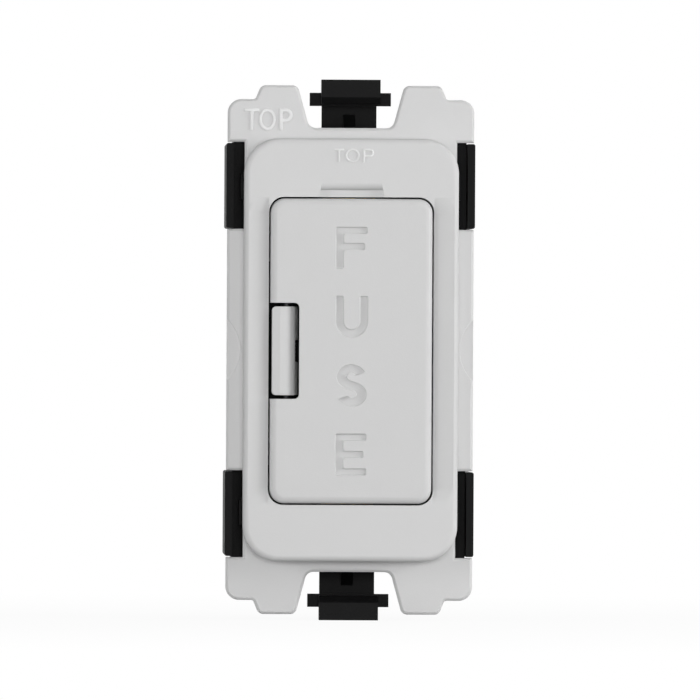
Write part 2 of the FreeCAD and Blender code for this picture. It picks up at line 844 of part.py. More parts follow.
def make_rear_cover():
    """The black cover over the terminals, with a lip that enters the body's core."""
    body = new_body("rear_cover")
    grow(
        body, "front", size.body_rear, cover_rear, [centred(body_half_width, body_half_height)]
    )
    soften(body, size.body_corner, corner_edges(1, [(body_half_width, body_half_height)]))
    soften(body, size.cover_edge, flat_edges(1, cover_rear), "Chamfer")
    lip_outer = centred(
        body_half_width - size.body_wall - size.fit_gap, size.core_height / 2 - size.fit_gap
    )
    lip_inner = centred(
        body_half_width - size.body_wall * 2 - size.cover_screw_head - size.fit_gap,
        size.core_height / 2 - size.body_wall,
    )
    grow(body, "front", size.body_rear - size.cover_lip, size.body_rear, [lip_outer, lip_inner])
    boss_reach = cover_screw_reach
    boss_room = size.cover_screw_head / 2 + size.fit_gap * 2
    rooms = [(boss_reach, 0, boss_room), (-boss_reach, 0, boss_room)]
    cut(body, "front", size.body_rear - size.cover_lip, size.body_rear, rooms)
    collars = [
        (0, terminal_middle, size.driver_hole / 2 + size.driver_collar),
        (0, -terminal_middle, size.driver_hole / 2 + size.driver_collar),
    ]
    grow(body, "front", cover_rear, cover_rear + size.driver_collar, collars)
    holes = [
        (0, terminal_middle, size.driver_hole / 2),
        (0, -terminal_middle, size.driver_hole / 2),
    ]
    cut(body, "front", size.body_rear, cover_rear + size.driver_collar, holes)
    shank_radius = size.cover_screw_diameter / 2 + size.fit_gap
    shanks = [(boss_reach, 0, shank_radius), (-boss_reach, 0, shank_radius)]
    cut(body, "front", size.body_rear, cover_rear, shanks)
    sink_radius = size.cover_screw_head / 2 + size.fit_gap
    sinks = [(boss_reach, 0, sink_radius), (-boss_reach, 0, sink_radius)]
    cut(body, "front", cover_rear - size.cover_screw_head_height, cover_rear, sinks)
    return body


def screw_profile(head_radius, head_height, shank_radius, shank_length, tip):
    """Half a headed screw on the side plane: Y runs from the tip to the head's top."""
    return [
        (0, 0),
        (0, shank_radius - tip),
        (tip, shank_radius),
        (shank_length, shank_radius),
        (shank_length, head_radius),
        (shank_length + head_height * crown_start, head_radius),
        (shank_length + head_height, head_radius * crown_width),
        (shank_length + head_height, 0),
    ]


def add_slot(body, head_top, head_radius, width, depth):
    """A straight driver slot across a screw's head."""
    slot = centred(head_radius * slot_overrun, width / 2)
    cut(body, "front", head_top - depth, head_top, [slot])


def make_terminal_screw(label, sign):
    """A pillar terminal's clamping screw, backed out to leave the conductor bore free."""
    body = new_body(label)
    tip_y = conductor_y + size.conductor_bore / 2 + size.screw_tip_gap
    shank_length = terminal_rear + size.screw_travel - tip_y
    radius = size.screw_diameter / 2
    head_radius = size.screw_head_diameter / 2
    head_height = size.screw_head_height
    profile = screw_profile(head_radius, head_height, radius, shank_length, size.screw_tip)
    turn(body, "y", profile)
    head_top = shank_length + head_height
    add_slot(body, head_top, head_radius, size.slot_width, size.slot_depth)
    bind(body, "Placement.Base.y", tip_y)
    bind(body, "Placement.Base.z", terminal_middle * sign)
    return body


def make_cover_screw(label, sign):
    """A small screw through the cover into the body's boss."""
    body = new_body(label)
    radius = size.cover_screw_diameter / 2
    head_radius = size.cover_screw_head / 2
    head_under = cover_rear - size.cover_screw_head_height
    shank_length = size.cover_screw_length
    head_height = size.cover_screw_head_height
    profile = screw_profile(head_radius, head_height, radius, shank_length, size.cover_screw_tip)
    turn(body, "y", profile)
    head_top = shank_length + head_height
    add_slot(body, head_top, head_radius, size.cover_slot_width, size.cover_slot_depth)
    bind(body, "Placement.Base.x", cover_screw_reach * sign)
    bind(body, "Placement.Base.y", head_under - shank_length)
    return body


def make_terminal_block(label, sign):
    """A brass pillar: a bore for the conductor and a threaded hole for its screw."""
    body = new_body(label)
    low = terminal_start if sign > 0 else -terminal_end
    high = low + size.terminal_height
    half_width = size.terminal_width / 2
    grow(
        body,
        "front",
        size.terminal_front,
        terminal_rear,
        [rectangle(-half_width, low, half_width, high)],
    )
    soften(body, size.terminal_edge, lambda edge: runs_along(edge, 1), "Chamfer")
    cut(body, "top", low, high, [(0, conductor_y, size.conductor_bore / 2)])
    middle = terminal_middle * sign
    screw_hole = [(0, middle, size.screw_diameter / 2 + size.screw_running_gap)]
    cut(body, "front", conductor_y, terminal_rear, screw_hole)
    rivet_hole = [(0, middle, size.rivet_diameter / 2)]
    cut(body, "front", size.terminal_front, size.terminal_front + size.rivet_length, rivet_hole)
    return body


def make_contact_clip(label, sign):
    """A folded bronze clip: two sprung cheeks beside the fuse cap and a strap to the block."""
    body = new_body(label)
    low = clip_height - size.clip_width / 2
    high = clip_height + size.clip_width / 2
    if sign < 0:
        low, high = -high, -low
    outer = clip_inner + size.clip_thickness
    grip_front = fuse_y - size.clip_grip
    flare_front = grip_front - size.clip_flare_length
    back_rear = clip_back + size.clip_thickness
    profile = [
        (-outer, back_rear),
        (-outer, grip_front),
        (-outer - size.clip_flare, flare_front),
        (-outer - size.clip_flare + size.clip_thickness, flare_front),
        (-clip_inner, grip_front),
        (-clip_inner, clip_back),
        (clip_inner, clip_back),
        (clip_inner, grip_front),
        (outer + size.clip_flare - size.clip_thickness, flare_front),
        (outer + size.clip_flare, flare_front),
        (outer, grip_front),
        (outer, back_rear),
    ]
    grow(body, "top", low, high, [profile])
    bend = corner_edges(2, [(outer, back_rear)])
    soften(body, size.clip_bend, bend)
    strap_top = terminal_middle + size.rivet_head_diameter / 2
    strap = [
        (clip_back, strap_height - size.clip_thickness * 2),
        (clip_back, strap_height + size.clip_thickness),
        (size.terminal_front - size.clip_thickness, strap_height + size.clip_thickness),
        (size.terminal_front - size.clip_thickness, strap_top),
        (size.terminal_front, strap_top),
        (size.terminal_front, strap_height),
        (back_rear, strap_height),
        (back_rear, strap_height - size.clip_thickness * 2),
    ]
    outline = [(along, up * sign) for along, up in strap]
    grow(body, "side", -size.strap_width / 2, size.strap_width / 2, [outline])
    rivet_hole = [(0, terminal_middle * sign, size.rivet_diameter / 2)]
    cut(body, "front", size.terminal_front - size.clip_thickness, size.terminal_front, rivet_hole)
    return body


def make_clip_rivet(label, sign):
    """A domed rivet that holds the clip's strap against the terminal block."""
    body = new_body(label)
    head_front = size.terminal_front - size.clip_thickness - size.rivet_head_height
    head_radius = size.rivet_head_diameter / 2
    shank_end = size.rivet_head_height + size.clip_thickness + size.rivet_length
    profile = [
        (0, 0),
        (0, head_radius * crown_width),
        (size.rivet_head_height * crown_start, head_radius),
        (size.rivet_head_height, head_radius),
        (size.rivet_head_height, size.rivet_diameter / 2),
        (shank_end, size.rivet_diameter / 2),
        (shank_end, 0),
    ]
    turn(body, "y", profile)
    bind(body, "Placement.Base.y", head_front)
    bind(body, "Placement.Base.z", terminal_middle * sign)
    return body


def make_fuse_barrel():
    """The fuse's ceramic tube, with necks that the end caps slide over."""
    body = new_body("fuse_barrel")
    neck_radius = fuse_radius - size.cap_wall
    inner = size.barrel_bore / 2
    end = fuse_half_length - size.cap_wall
    shoulder = fuse_half_length - size.cap_length
    barrel_radius = neck_radius
    profile = [
        (inner, -end),
        (neck_radius, -end),
        (barrel_radius, -shoulder),
        (barrel_radius, shoulder),
        (neck_radius, end),
        (inner, end),
    ]
    turn(body, "z", profile)
    bind(body, "Placement.Base.y", fuse_y)
    return body


def make_fuse_cap(label, sign):
    """A drawn metal cap with a rounded end."""
    body = new_body(label)
    mouth = fuse_half_length - size.cap_length
    inner_end = fuse_half_length - size.cap_wall
    profile = [
        (0, fuse_half_length),
        (fuse_radius, fuse_half_length),
        (fuse_radius, mouth),
        (fuse_radius - size.cap_wall, mouth),
        (fuse_radius - size.cap_wall, inner_end),
        (0, inner_end),
    ]
    turn(body, "z", [(along, up * sign) for along, up in profile])
    soften(body, size.cap_edge, flat_edges(2, fuse_half_length * sign), "Chamfer")
    bind(body, "Placement.Base.y", fuse_y)
    return body


def make_fuse_element():
    """The fine wire that melts, along the middle of the barrel."""
    body = new_body("fuse_element")
    end = fuse_half_length - size.cap_wall
    grow(body, "top", -end, end, [(0, fuse_y, size.element_diameter / 2)])
    return body


def make_fuse_carrier():
    """The white drawer: door, side walls, four guide legs and a cradle round the fuse."""
    body = new_body("fuse_carrier")
    door = rectangle(-door_half_width, door_bottom, door_half_width, door_top)
    grow(body, "front", door_front, carrier_rear, [door])
    corners = [(door_half_width, door_top), (door_half_width, -door_bottom)]
    soften(body, size.door_corner, corner_edges(1, corners))
    soften(body, size.door_edge, flat_edges(1, door_front))
    inner_half = door_half_width - size.carrier_wall
    inner_top = door_top - size.carrier_wall
    inner_bottom = door_bottom + size.carrier_wall
    cradle_half_width = size.cradle_width / 2
    cradle_half_length = size.cradle_length / 2
    hollow = rectangle(-inner_half, inner_bottom, inner_half, inner_top)
    cut(body, "front", door_back, carrier_rear, [hollow])
    cradle_rear = fuse_y + size.cradle_wrap
    cradle = centred(cradle_half_width, cradle_half_length)
    grow(body, "front", door_back, cradle_rear, [cradle])
    brackets = [
        rectangle(-inner_half, notch_top, -cradle_half_width, notch_top + size.web_thickness),
        rectangle(
            -inner_half, notch_bottom - size.web_thickness, -cradle_half_width, notch_bottom
        ),
        rectangle(cradle_half_width, notch_top, inner_half, notch_top + size.web_thickness),
        rectangle(
            cradle_half_width, notch_bottom - size.web_thickness, inner_half, notch_bottom
        ),
    ]
    grow(body, "front", door_back, carrier_rear, brackets)
    ear_low = pin_x - size.pin_diameter
    ear_high = pin_x + size.pin_diameter
    ears = [
        rectangle(ear_low, notch_top, ear_high, notch_top + size.web_thickness),
        rectangle(ear_low, notch_bottom - size.web_thickness, ear_high, notch_bottom),
    ]
    grow(body, "front", carrier_rear - size.web_thickness, pin_y + size.pin_diameter, ears)
    leg_places = [
        (leg_inner, size.leg_start, leg_outer, leg_high),
        (leg_inner, -leg_high, leg_outer, -size.leg_start),
        (-leg_outer, size.leg_start, -leg_inner, leg_high),
        (-leg_outer, -leg_high, -leg_inner, -size.leg_start),
    ]
    legs = [rectangle(*place) for place in leg_places]
    grow(body, "front", door_back, size.leg_rear, legs)
    nose_front = size.leg_rear - size.nose_length
    nose_tip = leg_outer + size.nose_reach
    for low, high in ((size.leg_start, leg_high), (-leg_high, -size.leg_start)):
        nose = [
            (leg_outer - size.leg_thickness / 2, nose_front),
            (nose_tip, nose_front),
            (nose_tip, nose_front + size.nose_land),
            (leg_outer, size.leg_rear),
            (leg_outer - size.leg_thickness / 2, size.leg_rear),
        ]
        right_nose = grow(body, "top", low, high, [nose])
        mirror(body, [right_nose], "YZ_Plane")
    fuse_seat = [(0, fuse_y, fuse_radius - size.cap_wall + size.screw_running_gap)]
    cut(body, "top", -cradle_half_length, cradle_half_length, fuse_seat)
    notch = rectangle(-door_half_width, notch_bottom, -notch_edge, notch_top)
    cut(body, "front", door_front, door_back, [notch])
    notch_corners = [(notch_edge, notch_top), (notch_edge, -notch_bottom)]
    soften(body, size.catch_notch_corner, corner_edges(1, notch_corners))
    behind = rectangle(
        -door_half_width, notch_bottom, -cradle_half_width, notch_top
    )
    cut(body, "front", door_back, carrier_rear, [behind])
    pin_hole = [(pin_x, pin_y, size.pin_diameter / 2)]
    pin_low = notch_bottom - size.web_thickness
    pin_high = notch_top + size.web_thickness
    cut(body, "top", pin_low, pin_high, pin_hole)
    return body


def make_release_catch():
    """The tab in the door's notch: rolled front, thin stem and two knuckles on the pin."""
    body = new_body("release_catch")
    left = -opening_half_width + size.catch_side_gap
    right = left + size.catch_width
    tab_front = door_front + size.catch_sunk
    head_back = tab_front + size.catch_head_depth
    knuckle = size.pin_diameter / 2 + size.pin_running_gap + size.knuckle_wall
    low = notch_bottom + size.catch_end_gap
    high = notch_top - size.catch_end_gap
    profile = [
        (left, tab_front + size.catch_sunk),
        (left + size.catch_slant, tab_front),
        (right, tab_front),
        (right, head_back),
        (pin_x + size.catch_stem / 2, head_back + size.catch_stem / 2),
        (pin_x + size.catch_stem / 2, pin_y),
        (pin_x - size.catch_stem / 2, pin_y),
        (pin_x - size.catch_stem / 2, head_back + size.catch_stem / 2),
        (left, head_back),
    ]
    grow(body, "top", low, high, [profile])
    soften(body, size.catch_roll, corner_edges(2, [(-right, -tab_front)]))
    soften(body, size.catch_corner, corner_edges(1, [(-left, high), (-left, -low)]))
    grow(body, "top", low, high, [(pin_x, pin_y, knuckle)])
    bore = [(pin_x, pin_y, size.pin_diameter / 2 + size.pin_running_gap)]
    cut(body, "top", low, high, bore)
    spring_room = (size.spring_wire + size.spring_pitch * spring_turns) / 2 + size.spring_clearance
    room = rectangle(
        pin_x - knuckle - size.fit_gap,
        pin_y - knuckle - size.fit_gap,
        pin_x + knuckle + size.fit_gap,
        pin_y + knuckle + size.fit_gap,
    )
    cut(
        body, "top", notch_middle - spring_room, notch_middle + spring_room, [room]
    )
    return body


def make_catch_pin():
    """The steel pin that the catch turns on, pressed into the carrier's ears."""
    body = new_body("catch_pin")
    low = notch_bottom - size.web_thickness
    high = notch_top + size.web_thickness
    grow(body, "top", low, high, [(pin_x, pin_y, size.pin_diameter / 2)])
    return body


def diamond(across, radius):
    """A small wire's section, with four flats in place of a round."""
    return [(across + radius, 0), (across, radius), (across - radius, 0), (across, -radius)]


def make_catch_spring():
    """A small torsion spring round the pin, with a straight leg at each end."""
    body = new_body("catch_spring")
    coil_radius = size.pin_diameter / 2 + size.spring_clearance + size.spring_wire / 2
    coil_height = size.spring_pitch * spring_turns
    section = draw(body, "side", 0, [diamond(coil_radius, size.spring_wire / 2)])
    helix = body.newObject("PartDesign::AdditiveHelix", "catch_spring_coil")
    helix.Profile = section
    helix.ReferenceAxis = (origin_feature(body, "Z_Axis"), [""])
    helix.Mode = "pitch-height-angle"
    bind(helix, "Pitch", size.spring_pitch)
    bind(helix, "Height", coil_height)
    document.recompute()
    bind(body, "Placement.Base.x", pin_x)
    bind(body, "Placement.Base.y", pin_y)
    bind(body, "Placement.Base.z", notch_middle - coil_height / 2)
    return body


def make_everything():
    made = [
        make_yoke_plate(),
        make_bezel(),
        make_rear_housing(),
        make_rear_cover(),
        make_fuse_barrel(),
        make_fuse_element(),
        make_fuse_carrier(),
        make_release_catch(),
        make_catch_pin(),
        make_catch_spring(),
    ]
    for end, sign in (("upper", 1), ("lower", -1)):
        made.append(make_fuse_cap(f"fuse_cap_{end}", sign))
        made.append(make_contact_clip(f"contact_clip_{end}", sign))
        made.append(make_clip_rivet(f"clip_rivet_{end}", sign))
    for use, sign in (("supply", 1), ("load", -1)):
        made.append(make_terminal_block(f"terminal_block_{use}", sign))
        made.append(make_terminal_screw(f"terminal_screw_{use}", sign))
    for side, sign in (("right", 1), ("left", -1)):
        made.append(make_cover_screw(f"cover_screw_{side}", sign))
    return made


def write_pieces(pieces):
    """Check every object and each piece's solid, then write one STEP file a piece."""
    document.recompute()
    for item in document.Objects:
        if "Invalid" in item.State or "Error" in item.State:
            raise RuntimeError(f"{item.Label} failed: {item.State}")
    for piece in pieces:
        shape = piece.Shape
        if shape.isNull() or not shape.isValid() or len(shape.Solids) != 1:
            raise RuntimeError(f"{piece.Label} is not one valid solid")
    os.makedirs("parts", exist_ok=True)
    for piece in pieces:
        piece.Shape.exportStep(f"parts/{piece.Label}.step")
        print(piece.Label, round(piece.Shape.Volume, 2), len(piece.Shape.Faces), "faces")


write_pieces(make_everything())
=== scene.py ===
"""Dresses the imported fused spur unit: sunk and raised words, soft moulded edges and procedural finishes.

The sizes, colours and lights that a user would change are properties of the scene, and each group of
like pieces has its own operator.
"""
import json
import math

import bpy
from mathutils import Matrix, Vector

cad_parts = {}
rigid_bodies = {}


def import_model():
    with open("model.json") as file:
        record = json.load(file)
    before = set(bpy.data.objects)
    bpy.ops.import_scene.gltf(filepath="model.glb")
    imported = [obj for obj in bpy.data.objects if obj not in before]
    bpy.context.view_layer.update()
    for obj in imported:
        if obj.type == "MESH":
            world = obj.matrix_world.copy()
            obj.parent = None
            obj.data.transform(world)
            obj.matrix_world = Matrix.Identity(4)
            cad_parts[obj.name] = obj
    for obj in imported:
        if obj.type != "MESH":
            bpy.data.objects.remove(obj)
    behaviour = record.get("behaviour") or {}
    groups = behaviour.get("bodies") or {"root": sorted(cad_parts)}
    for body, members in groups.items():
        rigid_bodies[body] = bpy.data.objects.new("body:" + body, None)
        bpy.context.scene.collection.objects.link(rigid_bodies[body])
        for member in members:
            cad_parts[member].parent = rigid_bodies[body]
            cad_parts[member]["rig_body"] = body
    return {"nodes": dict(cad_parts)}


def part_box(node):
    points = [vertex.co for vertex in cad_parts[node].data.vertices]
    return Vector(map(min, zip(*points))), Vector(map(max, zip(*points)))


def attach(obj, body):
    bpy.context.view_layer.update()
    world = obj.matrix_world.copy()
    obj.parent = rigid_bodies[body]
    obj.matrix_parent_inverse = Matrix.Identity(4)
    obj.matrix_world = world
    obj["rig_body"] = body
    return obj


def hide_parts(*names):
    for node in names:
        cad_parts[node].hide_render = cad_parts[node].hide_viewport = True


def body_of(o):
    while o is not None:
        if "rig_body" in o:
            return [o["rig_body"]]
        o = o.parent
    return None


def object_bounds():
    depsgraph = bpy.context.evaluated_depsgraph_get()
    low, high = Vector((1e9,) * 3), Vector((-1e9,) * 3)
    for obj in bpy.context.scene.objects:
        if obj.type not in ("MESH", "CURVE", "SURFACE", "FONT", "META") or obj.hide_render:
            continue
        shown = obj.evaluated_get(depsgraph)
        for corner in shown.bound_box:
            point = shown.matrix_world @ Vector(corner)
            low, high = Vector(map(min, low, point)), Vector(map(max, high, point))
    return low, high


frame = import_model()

bl_info = {
    "name": "Fused spur unit",
    "version": (1, 0, 0),
    "blender": (4, 5, 0),
    "location": "View3D > Sidebar > Fused spur unit",
    "description": "Dresses the CAD model of a fused spur unit for a grid plate",
    "category": "Object",
}

CAD_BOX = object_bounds()
MM = 0.001

# Merging, rounding and shading of the copies of CAD pieces
MERGE_DISTANCE = 0.0005 * MM
FLAT_ANGLE = math.radians(0.6)
ROUND_ANGLE = math.radians(32)
BEVEL_ANGLE = math.radians(40)
STRONGEST_FACE = 100
SAME_AREA = 1e-9

# Corners of a letter are told apart to a millionth of a millimetre
PLACE_DIGITS = 9

# Forms of the letters: angles in degrees, steps in a full ring, and shares of a height, width or stroke
ARC_STEP = 7.5
RING_STEPS = 48
THREE_QUARTERS = 270
SPINE_SLANT = 22
SPINE_SHARE = 0.17
S_OPENING = 22
BOWL_SHARE = 0.46
ARM_WEIGHT = 0.85
ARM_START = 0.25
# How high each arm sits, from -1 at the foot to 1 at the top, and the share of the width it reaches
ARMS = {"F": ((1.0, 1.0), (0.07, 0.92)), "E": ((1.0, 1.0), (0.0, 0.91), (-1.0, 1.0))}
# The cutter that slopes a sunk letter's edge goes a little past the slope, in slope widths
SLOPE_CUTTER_REACH = 1.25
SLOPE_CUTTER_BEVEL = 1.2
# How far a raised letter's body reaches, in heights that it stands up; the rest is sunk in the face
RAISED_LETTER_BODY = 2

# The sockets of a Mix node that take and give colours, as some share their names with other kinds
MIX_COLOURS = (6, 7)
MIX_RESULT = 2


def length_setting(name, description, millimetres):
    return bpy.props.FloatProperty(
        name=name, description=description, default=millimetres * MM, min=0.0,
        subtype="DISTANCE", unit="LENGTH", precision=5,
    )


def colour_setting(name, description, colour):
    return bpy.props.FloatVectorProperty(
        name=name, description=description, default=colour, min=0.0, max=1.0, size=3, subtype="COLOR",
    )


def number_setting(name, description, value):
    return bpy.props.FloatProperty(name=name, description=description, default=value, min=0.0)


class FuseUnitSizes(bpy.types.PropertyGroup):
    """Sizes of the words and the soft edges."""

    door_letter_height: length_setting("Door letter height", "Height of the door's sunk letters", 4.36)
    door_letter_stroke: length_setting("Door letter stroke", "Width of the sunk strokes", 0.92)
    door_letter_pitch: length_setting("Door letter pitch", "From one sunk letter to the next one", 7.1)
    door_letter_depth: length_setting("Door letter depth", "How deep the door's letters are sunk", 0.36)
    door_letter_slope: length_setting("Door letter slope", "Slope round each sunk letter's edge", 0.13)
    plate_letter_height: length_setting("Plate letter height", "Height of the plate's raised word", 2.28)
    plate_letter_stroke: length_setting("Plate letter stroke", "Width of that word's strokes", 0.36)
    bezel_letter_height: length_setting("Bezel letter height", "Height of the bezel's raised word", 1.41)
    bezel_letter_stroke: length_setting("Bezel letter stroke", "Width of that word's strokes", 0.20)
    raised_letter: length_setting("Raised letter", "How far the raised words stand up", 0.14)
    letter_edge: length_setting("Letter edge", "Width of the rounding along the raised letters", 0.07)
    white_edge: length_setting("White edge", "Most rounding of the white edges", 0.12)
    black_edge: length_setting("Black edge", "Most rounding of the black edges", 0.15)


class FuseUnitColours(bpy.types.PropertyGroup):
    """Colours of the finishes."""

    white_plastic: colour_setting("White plastic", "Colour of bezel and plate", (0.640, 0.640, 0.640))
    # Lighter than the white plastic: a painted highlight on the raised words
    word_plastic_painted_highlight: colour_setting("Raised words", "Colour of their tops", (0.740, 0.740, 0.740))
    door_plastic: colour_setting("Door plastic", "Colour of door and catch", (0.625, 0.625, 0.625))
    black_plastic: colour_setting("Black plastic", "Colour of housing and cover", (0.0048, 0.0048, 0.0050))
    brass: colour_setting("Brass", "Colour of terminals and rivets", (0.61, 0.43, 0.16))
    bronze: colour_setting("Bronze", "Colour of the fuse clips", (0.58, 0.33, 0.16))
    steel: colour_setting("Steel", "Colour of the screws", (0.36, 0.37, 0.38))
    # Much darker than the screws' steel: painted shade for the pin and spring in the catch's narrow gap
    dark_steel: colour_setting("Dark steel", "Colour of the catch's pin and spring", (0.10, 0.10, 0.105))
    fuse_wire: colour_setting("Fuse wire", "Colour of the wire inside the fuse", (0.70, 0.69, 0.66))
    nickel: colour_setting("Nickel", "Colour of the fuse caps", (0.60, 0.58, 0.54))
    ceramic: colour_setting("Ceramic", "Colour of the fuse barrel", (0.70, 0.67, 0.59))


class FuseUnitStage(bpy.types.PropertyGroup):
    """The camera and the studio light."""

    camera_distance: length_setting("Camera distance", "From the camera to the front of the plate", 1500.0)
    frame_width: length_setting("Frame width", "Width that the picture shows at the plate", 72.39)
    camera_turn: number_setting("Camera turn", "How far the camera stands to the left, in degrees", 1.3)
    camera_roll: number_setting("Camera roll", "How far the camera leans to the left, in degrees", 0.29)
    ambient: number_setting("Ambient light", "Level of the light from all round", 0.08)
    dark_end: number_setting("Dark end", "Level that reflections find behind the camera", 0.10)
    top_lamp: number_setting("Top lamp", "Power of the lamp above, in watts", 0.64)
    left_lamp: number_setting("Left lamp", "Power of the lamp ahead on the left, in watts", 2.43)
    right_lamp: number_setting("Right lamp", "Power of the lamp ahead on the right, in watts", 1.22)
    side_lamp: number_setting("Side lamp", "Power of the lamp out on the right, in watts", 4.60)
    front_lamp: number_setting("Front lamp", "Power of the lamp by the camera, in watts", 2.15)
    back_lamp: number_setting("Back lamp", "Power of the lamp behind the object, in watts", 3.0)


def sizes():
    return bpy.context.scene.fuse_unit_sizes


def colours():
    return bpy.context.scene.fuse_unit_colours


def select_only(piece):
    bpy.ops.object.select_all(action="DESELECT")
    piece.select_set(True)
    bpy.context.view_layer.objects.active = piece


def apply_modifiers(piece):
    select_only(piece)
    for modifier in list(piece.modifiers):
        bpy.ops.object.modifier_apply(modifier=modifier.name)


def settle(piece):
    """Leaves the piece at the origin, unturned and unscaled."""
    select_only(piece)
    bpy.ops.object.transform_apply(location=True, rotation=True, scale=True)


def soften(piece, width, segments=2):
    """Rounds the piece's sharp edges, or slopes them where there is one segment."""
    bevel = piece.modifiers.new("Soft edges", "BEVEL")
    bevel.width = width
    bevel.segments = segments
    bevel.limit_method = "ANGLE"
    bevel.angle_limit = BEVEL_ANGLE
    bevel.use_clamp_overlap = True
    apply_modifiers(piece)


def put_in_order(piece):
    """Numbers the corners and faces by their places, as extruding and spinning leave that to chance."""
    mesh = piece.data
    places = [tuple(round(value, PLACE_DIGITS) for value in corner.co) for corner in mesh.vertices]
    ranks = {place: rank for rank, place in enumerate(sorted(places))}
    faces = []
    for face in mesh.polygons:
        corners = [ranks[places[corner]] for corner in face.vertices]
        first = corners.index(min(corners))
        faces.append(corners[first:] + corners[:first])
    mesh.clear_geometry()
    mesh.from_pydata(sorted(places), [], sorted(faces))


def merge(piece, whole_faces=False, turn_outwards=False):
    """Joins the corners that touch; it can make flat faces whole and turn all faces outwards."""
    select_only(piece)
    bpy.ops.object.mode_set(mode="EDIT")
    bpy.ops.mesh.select_all(action="SELECT")
    bpy.ops.mesh.remove_doubles(threshold=MERGE_DISTANCE)
    if whole_faces:
        bpy.ops.mesh.dissolve_limited(angle_limit=FLAT_ANGLE)
    if turn_outwards:
        bpy.ops.mesh.normals_make_consistent(inside=False)
    bpy.ops.object.mode_set(mode="OBJECT")


def merged_copy(node, whole_faces=True):
    """A copy of a CAD node with its triangles joined."""
    piece = bpy.data.objects.new(f"{node}_dressed", frame["nodes"][node].data.copy())
    bpy.context.scene.collection.objects.link(piece)
    select_only(piece)
    bpy.ops.mesh.customdata_custom_splitnormals_clear()
    merge(piece, whole_faces=whole_faces)
    return piece


def smooth(piece):
    """Shades the roundings smooth and keeps the flat faces flat."""
    select_only(piece)
    bpy.ops.object.shade_smooth_by_angle(angle=ROUND_ANGLE)
    flats = piece.modifiers.new("Flat faces", "WEIGHTED_NORMAL")
    flats.mode = "FACE_AREA"
    flats.weight = STRONGEST_FACE
    flats.thresh = SAME_AREA
    flats.keep_sharp = True
    apply_modifiers(piece)


def stand_in(piece, node, slot):
    """Puts the finished piece in the place of a CAD node."""
    smooth(piece)
    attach(piece, body_of(frame["nodes"][node])[0])
    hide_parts(node)
    finish_piece(piece, slot)


def finish_piece(piece, finish):
    """Gives the whole piece one of the FINISHES."""
    piece.data.materials.clear()
    piece.data.materials.append(FINISHES[finish]())
    for face in piece.data.polygons:
        face.material_index = 0


class Pen:
    """Draws one stroke of a letter, a bar of constant section, in the plane that the viewer faces."""

    def __init__(self, stroke, thickness, across, up, heading):
        self.place = Vector((across, 0.0, up))
        self.heading = math.radians(heading)
        bpy.ops.object.select_all(action="DESELECT")
        bpy.ops.mesh.primitive_plane_add(size=1.0, location=self.place)
        self.piece = bpy.context.object
        self.piece.scale = (stroke, thickness, 1.0)
        self.piece.rotation_euler = (0.0, math.pi / 2 - self.heading, 0.0)
        settle(self.piece)
        bpy.ops.object.mode_set(mode="EDIT")
        bpy.ops.mesh.select_mode(type="FACE")
        bpy.ops.mesh.select_all(action="SELECT")

    def run(self, length):
        """Goes straight on."""
        step = Vector((math.cos(self.heading), 0.0, math.sin(self.heading))) * length
        bpy.ops.mesh.extrude_region_move(TRANSFORM_OT_translate={"value": step})
        self.place += step
        return self

    def bend(self, radius, angle):
        """Curves to the left by a positive angle and to the right by a negative one."""
        side = math.copysign(1.0, angle)
        steps = max(2, round(abs(angle) / ARC_STEP))
        angle = math.radians(angle)
        spoke = Vector((-math.sin(self.heading), 0.0, math.cos(self.heading))) * radius * side
        centre = self.place + spoke
        bpy.ops.mesh.spin(steps=steps, angle=abs(angle), center=centre, axis=(0.0, side, 0.0))
        self.place = centre - Matrix.Rotation(-angle, 3, "Y") @ spoke
        self.heading += angle
        return self

    def lift(self):
        """Ends the stroke and gives the finished bar."""
        bpy.ops.object.mode_set(mode="OBJECT")
        merge(self.piece, turn_outwards=True)
        put_in_order(self.piece)
        return self.piece


def combine(piece, other, operation):
    """Unites the piece with another one, or cuts that out of it, and uses the other up."""
    boolean = piece.modifiers.new("Combine", "BOOLEAN")
    boolean.operation = operation
    boolean.solver = "EXACT"
    boolean.object = other
    apply_modifiers(piece)
    bpy.data.objects.remove(other)


def letter_u(width, height, stroke, thickness):
    """One stroke down, round and up."""
    radius = (width - stroke) / 2
    straight = height - stroke / 2 - radius
    pen = Pen(stroke, thickness, -radius, height / 2, -90)
    return pen.run(straight).bend(radius, 180).run(straight).lift()


def letter_s(width, height, stroke, thickness):
    """Two bowls joined by a slanting spine, then widened to measure."""
    slant = math.radians(SPINE_SLANT)
    spine = height * SPINE_SHARE
    radius = ((height - stroke) / 2 - spine / 2 * math.sin(slant)) / (1 + math.cos(slant))
    centre_across = radius * math.sin(slant) - spine / 2 * math.cos(slant)
    centre_up = radius * math.cos(slant) + spine / 2 * math.sin(slant)
    opening = math.radians(S_OPENING)
    start = (centre_across + radius * math.cos(opening), centre_up + radius * math.sin(opening))
    turned = THREE_QUARTERS - SPINE_SLANT - S_OPENING
    pen = Pen(stroke, thickness, *start, 90 + S_OPENING)
    piece = pen.bend(radius, turned).run(spine).bend(radius, -turned).lift()
    reach = max(corner.co.x for corner in piece.data.vertices)
    piece.scale = (width / 2 / reach, 1.0, 1.0)
    settle(piece)
    return piece


